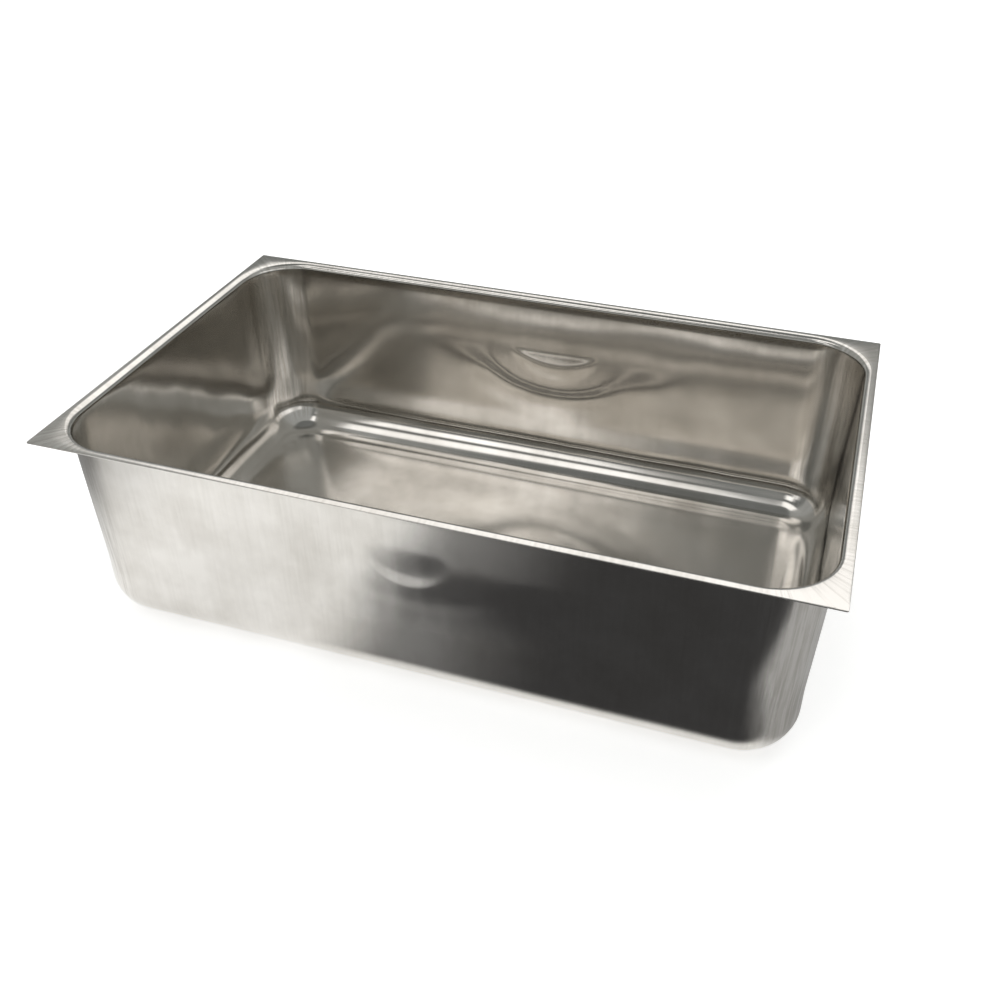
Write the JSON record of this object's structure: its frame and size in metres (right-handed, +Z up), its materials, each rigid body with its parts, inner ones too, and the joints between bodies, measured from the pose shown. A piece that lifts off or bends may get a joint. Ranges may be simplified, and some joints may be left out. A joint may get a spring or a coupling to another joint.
{
  "type": "deli food pan",
  "caption": "Deep rectangular stainless food pan, drawn in one piece, with a narrow flat flange, coved bottom and a pressed half-moon ledge in each long wall.",
  "frame": {"origin": "centre of the underside, on the surface that the pan stands on", "axes": "+X along the long side, +Y from the front long wall to the rear one, +Z up through the open top"},
  "size_m": [0.527, 0.324, 0.156],
  "materials": {
    "stainless_sheet": "satin, with upright drawing marks"
  },
  "bodies": {
    "root": {"drawn_pan": "stainless_sheet"}
  },
  "joints": []
}
